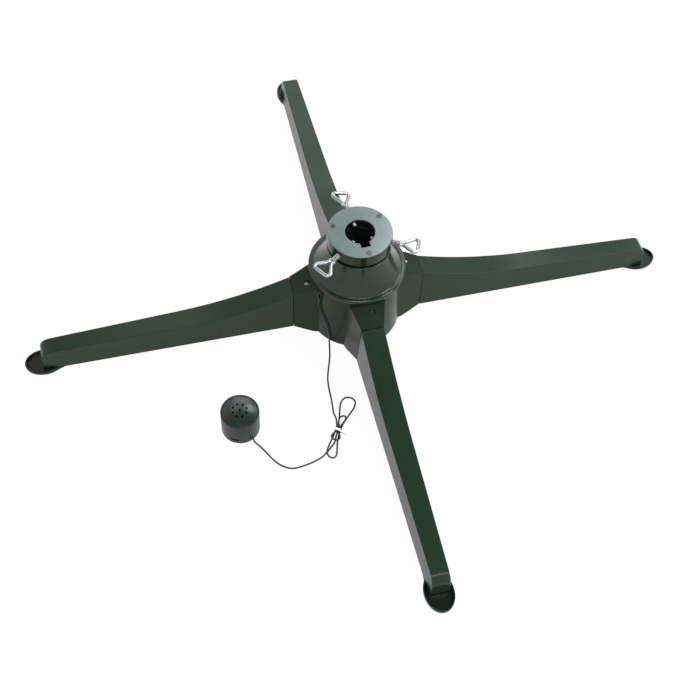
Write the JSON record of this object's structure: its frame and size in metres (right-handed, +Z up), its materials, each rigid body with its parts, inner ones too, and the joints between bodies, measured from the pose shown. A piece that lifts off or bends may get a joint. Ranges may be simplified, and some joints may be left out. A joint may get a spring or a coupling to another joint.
{
  "type": "rotating christmas tree stand",
  "caption": "Motor-driven stand whose head turns an artificial tree: hub on four long legs, clamp screws round the pole socket, and a sound pod on a tied cord.",
  "frame": {"origin": "on the floor, under the axis of the hub", "axes": "+Z up along the turning axis, +X along the right-hand leg, +Y along the leg that points away"},
  "size_m": [0.7956, 0.7956, 0.153],
  "materials": {
    "hub_plastic": "satin moulded plastic, dark green",
    "leg_plastic": "satin moulded plastic, dark green",
    "bell_plastic": "glossy moulded plastic, dark green",
    "base_plastic": "matt moulded plastic",
    "screw_steel": "zinc plated",
    "spring_steel": "blackened steel",
    "pad_rubber": "matt rubber",
    "nylon": "natural nylon",
    "bearing_steel": "ground steel",
    "cage_brass": "pressed brass",
    "tube_steel": "drawn steel",
    "liner_plastic": "matt black plastic",
    "zinc": "zinc plated",
    "bright_zinc": "bright plated wire",
    "plate_finish": "glossy grey-green paint on steel",
    "motor_steel": "plated steel",
    "board_laminate": "green laminate",
    "part_black": "moulded parts",
    "jack_black": "moulded black",
    "lead_red": "soft insulation",
    "cord_skin": "soft black-green insulation",
    "grommet_rubber": "matt rubber",
    "tie_white": "white plastic over wire",
    "pod_plastic": "satin moulded plastic",
    "pod_cap_plastic": "satin moulded plastic, dark green",
    "speaker_black": "black frame and cone",
    "knob_black": "moulded black"
  },
  "bodies": {
    "root": {"hub_drum": "hub_plastic", "base_cover": "base_plastic", "base_screws": "screw_steel", "leg_east": "leg_plastic", "leg_north": "leg_plastic", "leg_west": "leg_plastic", "leg_south": "leg_plastic", "leg_screws": "screw_steel", "foot_pads": "pad_rubber", "bell": "bell_plastic", "bell_screws": "screw_steel", "neck_bush": "nylon", "pivot_bush": "nylon", "lower_race": "bearing_steel", "motor_gearbox": "motor_steel", "motor_can": "motor_steel", "motor_screws": "screw_steel", "control_board": "board_laminate", "board_parts": "part_black", "dc_jack": "jack_black", "motor_lead": "lead_red", "pod_lead": "cord_skin", "cord_grommet": "grommet_rubber", "cord_drop": "cord_skin", "cord_hank": "cord_skin", "hank_tie": "tie_white", "cord_tail": "cord_skin", "pod_base": "pod_plastic", "pod_cap": "pod_cap_plastic", "pod_screws": "screw_steel", "pod_speaker": "speaker_black", "pod_board": "board_laminate", "pod_switch_case": "motor_steel", "pod_grommet": "grommet_rubber"},
    "head": {"socket_tube": "tube_steel", "tube_foot": "tube_steel", "pole_sleeve": "liner_plastic", "collar": "bell_plastic", "clamp_nuts": "zinc", "top_plate": "plate_finish", "plate_screws": "screw_steel", "ring_gear": "nylon", "gear_grub_screws": "spring_steel", "upper_race": "bearing_steel", "retaining_ring": "spring_steel"},
    "bearing": {"ball_cage": "cage_brass", "bearing_balls": "bearing_steel"},
    "pinion": {"motor_pinion": "nylon", "motor_shaft": "bearing_steel"},
    "clamp_a": {"clamp_screw_a": "bright_zinc"},
    "clamp_b": {"clamp_screw_b": "bright_zinc"},
    "clamp_c": {"clamp_screw_c": "bright_zinc"},
    "pod_switch": {"pod_switch_knob": "knob_black"}
  },
  "joints": [
    {"name": "head_spin", "type": "hinge", "parent": "root", "child": "head", "pos_m": [0, 0, 0.08], "axis": [0, 0, 1], "continuous": true},
    {"name": "bearing_spin", "type": "hinge", "parent": "root", "child": "bearing", "pos_m": [0, 0, 0.06805], "axis": [0, 0, 1], "continuous": true},
    {"name": "pinion_spin", "type": "hinge", "parent": "root", "child": "pinion", "pos_m": [-0.02616, 0.02616, 0.07], "axis": [0, 0, 1], "continuous": true},
    {"name": "clamp_slide_a", "type": "slide", "parent": "head", "child": "clamp_a", "axis": [-0.1045, 0.9945, 0], "range_m": [-0.005, 0.01]},
    {"name": "clamp_slide_b", "type": "slide", "parent": "head", "child": "clamp_b", "axis": [0.9135, -0.4067, 0], "range_m": [-0.005, 0.01]},
    {"name": "clamp_slide_c", "type": "slide", "parent": "head", "child": "clamp_c", "axis": [-0.809, -0.5878, 0], "range_m": [-0.005, 0.01]},
    {"name": "pod_switch_slide", "type": "slide", "parent": "root", "child": "pod_switch", "axis": [0.8829, -0.4695, 0], "range_m": [-0.002, 0.002]}
  ],
  "couplings": [
    {"joint": "bearing_spin", "follows": "head_spin", "ratio": 0.5},
    {"joint": "pinion_spin", "follows": "head_spin", "ratio": -3.1111}
  ]
}
